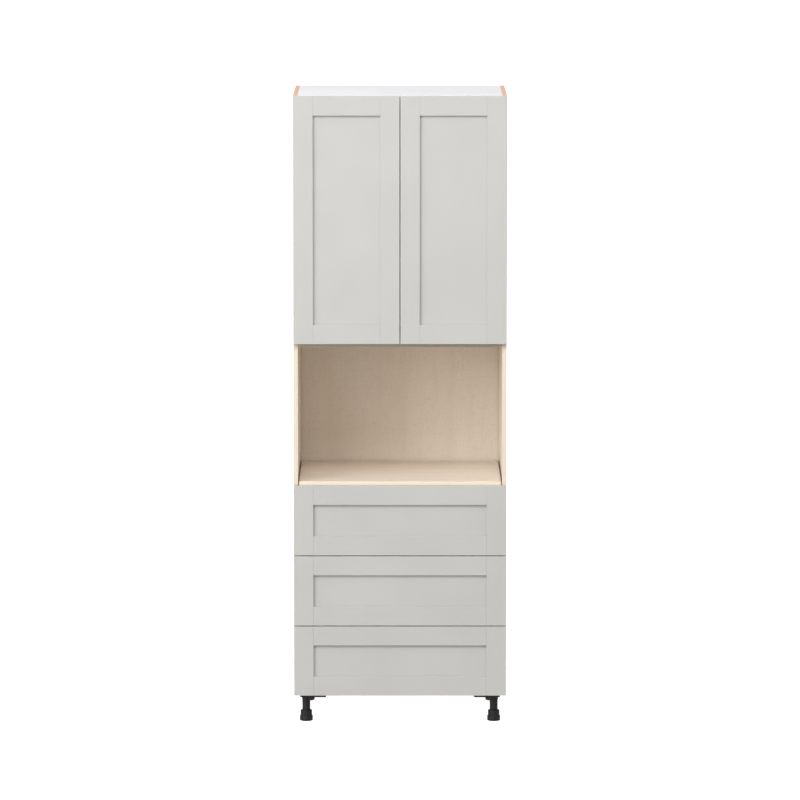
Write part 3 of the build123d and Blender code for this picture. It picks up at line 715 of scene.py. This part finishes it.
def crossMesh(height):
    # the tapered cross that is pressed into a head
    wide, reach = screw["crossWidth"] / 2, screw["crossReach"]
    outline = []
    for quarter in range(4):
        turn = Matrix.Rotation(math.radians(90 * quarter), 3, "Z")
        outline += [turn @ Vector((x, y, 0)) for x, y in ((reach, -wide), (reach, wide), (wide, wide))]
    bm = bmesh.new()
    taper, above = screw["crossTaper"], 0.5 * mm  # the cutter stands clear of the dome
    top = [bm.verts.new(corner + Vector((0, 0, height + above))) for corner in outline]
    tip = [bm.verts.new(corner * taper + Vector((0, 0, height - screw["crossDepth"]))) for corner in outline]
    bm.faces.new(top)
    bm.faces.new(list(reversed(tip)))
    for step in range(len(outline)):
        ahead = (step + 1) % len(outline)
        bm.faces.new([tip[step], tip[ahead], top[ahead], top[step]])
    bmesh.ops.recalc_face_normals(bm, faces=bm.faces)
    mesh = bpy.data.meshes.new("cross")
    bm.to_mesh(mesh)
    bm.free()
    return mesh


def crossHeadScrews(nodeName, body):
    # every screw of a CAD group, each turned by its own angle
    seats = [screwSeat(points) for points in loosePoints(nodes[nodeName])]
    patterns = {}
    bm = bmesh.new()
    for number, (seat, direction, headRadius, shankRadius, length) in enumerate(seats):
        size = (round(headRadius, 5), round(shankRadius, 5), round(length, 5))
        if size not in patterns:
            patterns[size] = screwMesh(*size)
        copy = patterns[size].copy()
        spin = Matrix.Rotation(math.radians(screw["turn"] * number), 4, "Z")
        aim = (-direction).to_track_quat("Z", "Y").to_matrix().to_4x4()
        copy.transform(Matrix.Translation(seat) @ aim @ spin)
        bm.from_mesh(copy)
    addPiece(nodeName + "_cross_head", bm, "screw", body, nodeName)


crossHeadScrews("carcass_screws", "cabinet")
for number in (1, 2, 3):
    crossHeadScrews(f"drawer_{number}_front_screws", f"drawer_{number}")
print("screws cut")


# Studio: a pale floor that runs out of sight, a white surround and soft lamps

studio = {
    "floorSize": 240.0,
    "floor": ("d7d7d6", "dadad9"),
    "floorGlow": 0.82,
    "above": 0.63,
    "below": 0.56,
    "lampSize": 3.0,
    "lampDistance": 8.0,
    "aim": (0.0, -0.3, 1.2),
    "lamps": {  # bearing to the left of straight ahead, angle above level, watts
        "window": (45, 3, 107.0),
        "windowUpper": (50, 20, 84.0),
        "windowTop": (60, 40, 71.0),
        "boothLeft": (30, 15, 69.0),
        "boothLeftUpper": (30, 35, 88.0),
        "boothFront": (0, 45, 279.0),
    },
}


def paintedFloor():
    # Matt white paint, rolled: almost no sheen and slow faint patches. It glows, so that it
    # stays white to the horizon, and it lights and reflects on nothing else.
    material, tree, place = openMaterial("paintedFloor")
    patches = addNode(tree, "ShaderNodeTexNoise", {"Scale": 1.2}, {"Vector": place["Object"]})
    tints = {"stops": tuple(zip((0.2, 0.8), studio["floor"]))}
    colour = addNode(tree, "ShaderNodeValToRGB", tints, {"Fac": patches})
    glow = {"Roughness": 0.9, "Emission Color": linear("ffffff"), "Emission Strength": studio["floorGlow"]}
    closeMaterial(tree, glow, {"Base Color": colour})
    bm = bmesh.new()
    bmesh.ops.create_grid(bm, x_segments=8, y_segments=8, size=studio["floorSize"] / 2)
    mesh = bpy.data.meshes.new("studioFloor")
    bm.to_mesh(mesh)
    bm.free()
    mesh.materials.append(material)
    floor = bpy.data.objects.new("studioFloor", mesh)
    floor.visible_diffuse = False
    floor.visible_glossy = False
    bpy.context.scene.collection.objects.link(floor)


def softLamp(name, bearing, lift, watts):
    light = bpy.data.lights.new(name, "AREA")
    light.energy = watts
    light.size = studio["lampSize"]
    around, up = math.radians(bearing), math.radians(lift)
    away = Vector((-math.sin(around) * math.cos(up), -math.cos(around) * math.cos(up), math.sin(up)))
    holder = bpy.data.objects.new(name, light)
    holder.location = Vector(studio["aim"]) + away * studio["lampDistance"]
    holder.rotation_euler = away.to_track_quat("Z", "Y").to_euler()
    holder.visible_camera = False
    bpy.context.scene.collection.objects.link(holder)


def whiteSurround():
    # lights the object softly, more from above, and looks plain white behind it
    world = bpy.data.worlds.new("whiteSurround")
    bpy.context.scene.world = world
    world.use_nodes = True
    tree = world.node_tree
    tree.nodes.clear()
    up = addNode(tree, "ShaderNodeTexCoord").outputs["Generated"]
    up = addNode(tree, "ShaderNodeSeparateXYZ", None, {0: up}).outputs["Z"]
    levels = {"From Min": -0.15, "From Max": 0.15, "To Min": studio["below"], "To Max": studio["above"]}
    strength = addNode(tree, "ShaderNodeMapRange", levels, {"Value": up})
    lighting = addNode(tree, "ShaderNodeBackground", {"Color": linear("ffffff")}, {"Strength": strength})
    seen = addNode(tree, "ShaderNodeBackground", {"Color": linear("ffffff"), "Strength": 1.0})
    direct = addNode(tree, "ShaderNodeLightPath").outputs["Is Camera Ray"]
    both = addNode(tree, "ShaderNodeMixShader", None, {0: direct, 1: lighting, 2: seen})
    addNode(tree, "ShaderNodeOutputWorld", None, {"Surface": both})


view = {
    "distance": 19.8,  # from the faces of the fronts
    "height": 3.505,
    "tilt": 6.7065,  # degrees below level
    "lens": 251.1,
    "sensor": 36.0,
    "farthest": 400.0,
}


def placeCamera():
    data = bpy.data.cameras.new("camera")
    data.lens = view["lens"]
    data.sensor_width = view["sensor"]
    data.clip_end = view["farthest"]
    camera = bpy.data.objects.new("camera", data)
    camera.location = (0.0, cadBox[0].y - view["distance"], view["height"])
    camera.rotation_euler = (math.radians(90 - view["tilt"]), 0.0, 0.0)
    bpy.context.scene.collection.objects.link(camera)
    bpy.context.scene.camera = camera


paintedFloor()
for name, lamp in studio["lamps"].items():
    softLamp(name, *lamp)
whiteSurround()
placeCamera()
bpy.context.scene.view_settings.view_transform = "Standard"
print("studio set")
